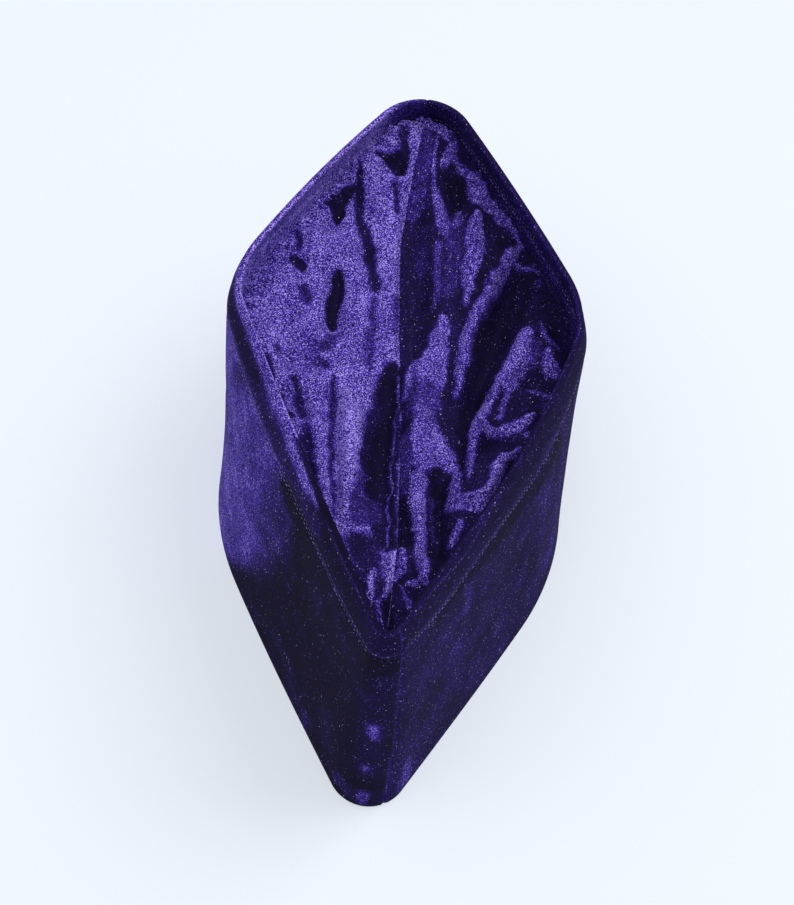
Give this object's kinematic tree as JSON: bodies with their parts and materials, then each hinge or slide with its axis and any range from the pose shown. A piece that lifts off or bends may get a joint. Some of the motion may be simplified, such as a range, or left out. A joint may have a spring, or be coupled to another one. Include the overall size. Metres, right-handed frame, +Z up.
{
  "type": "kufi cap",
  "caption": "Boat-shaped velvet kufi cap with pointed ends, stiff side walls, topstitched rim and a slack, gathered crown with a centre seam.",
  "frame": {"origin": "centre of the bounding box of the cap's footprint, at the level of the foot edge", "axes": "+X across the cap, to the right as seen from the front tip; -Y towards the front tip and +Y towards the back tip, along the cap; +Z up, from the head opening to the rim"},
  "size_m": [0.131, 0.252, 0.1065],
  "materials": {
    "band_velvet_left": "violet glitter velvet, nap brushed up, bright",
    "band_velvet_right": "violet glitter velvet, nap brushed down, near black",
    "crown_velvet_left": "crushed violet glitter velvet, bright",
    "crown_velvet_right": "crushed violet glitter velvet, dark with bright ridges"
  },
  "bodies": {
    "root": {"side_band_left": "band_velvet_left", "side_band_right": "band_velvet_right", "crown_left": "crown_velvet_left", "crown_right": "crown_velvet_right"}
  },
  "joints": []
}
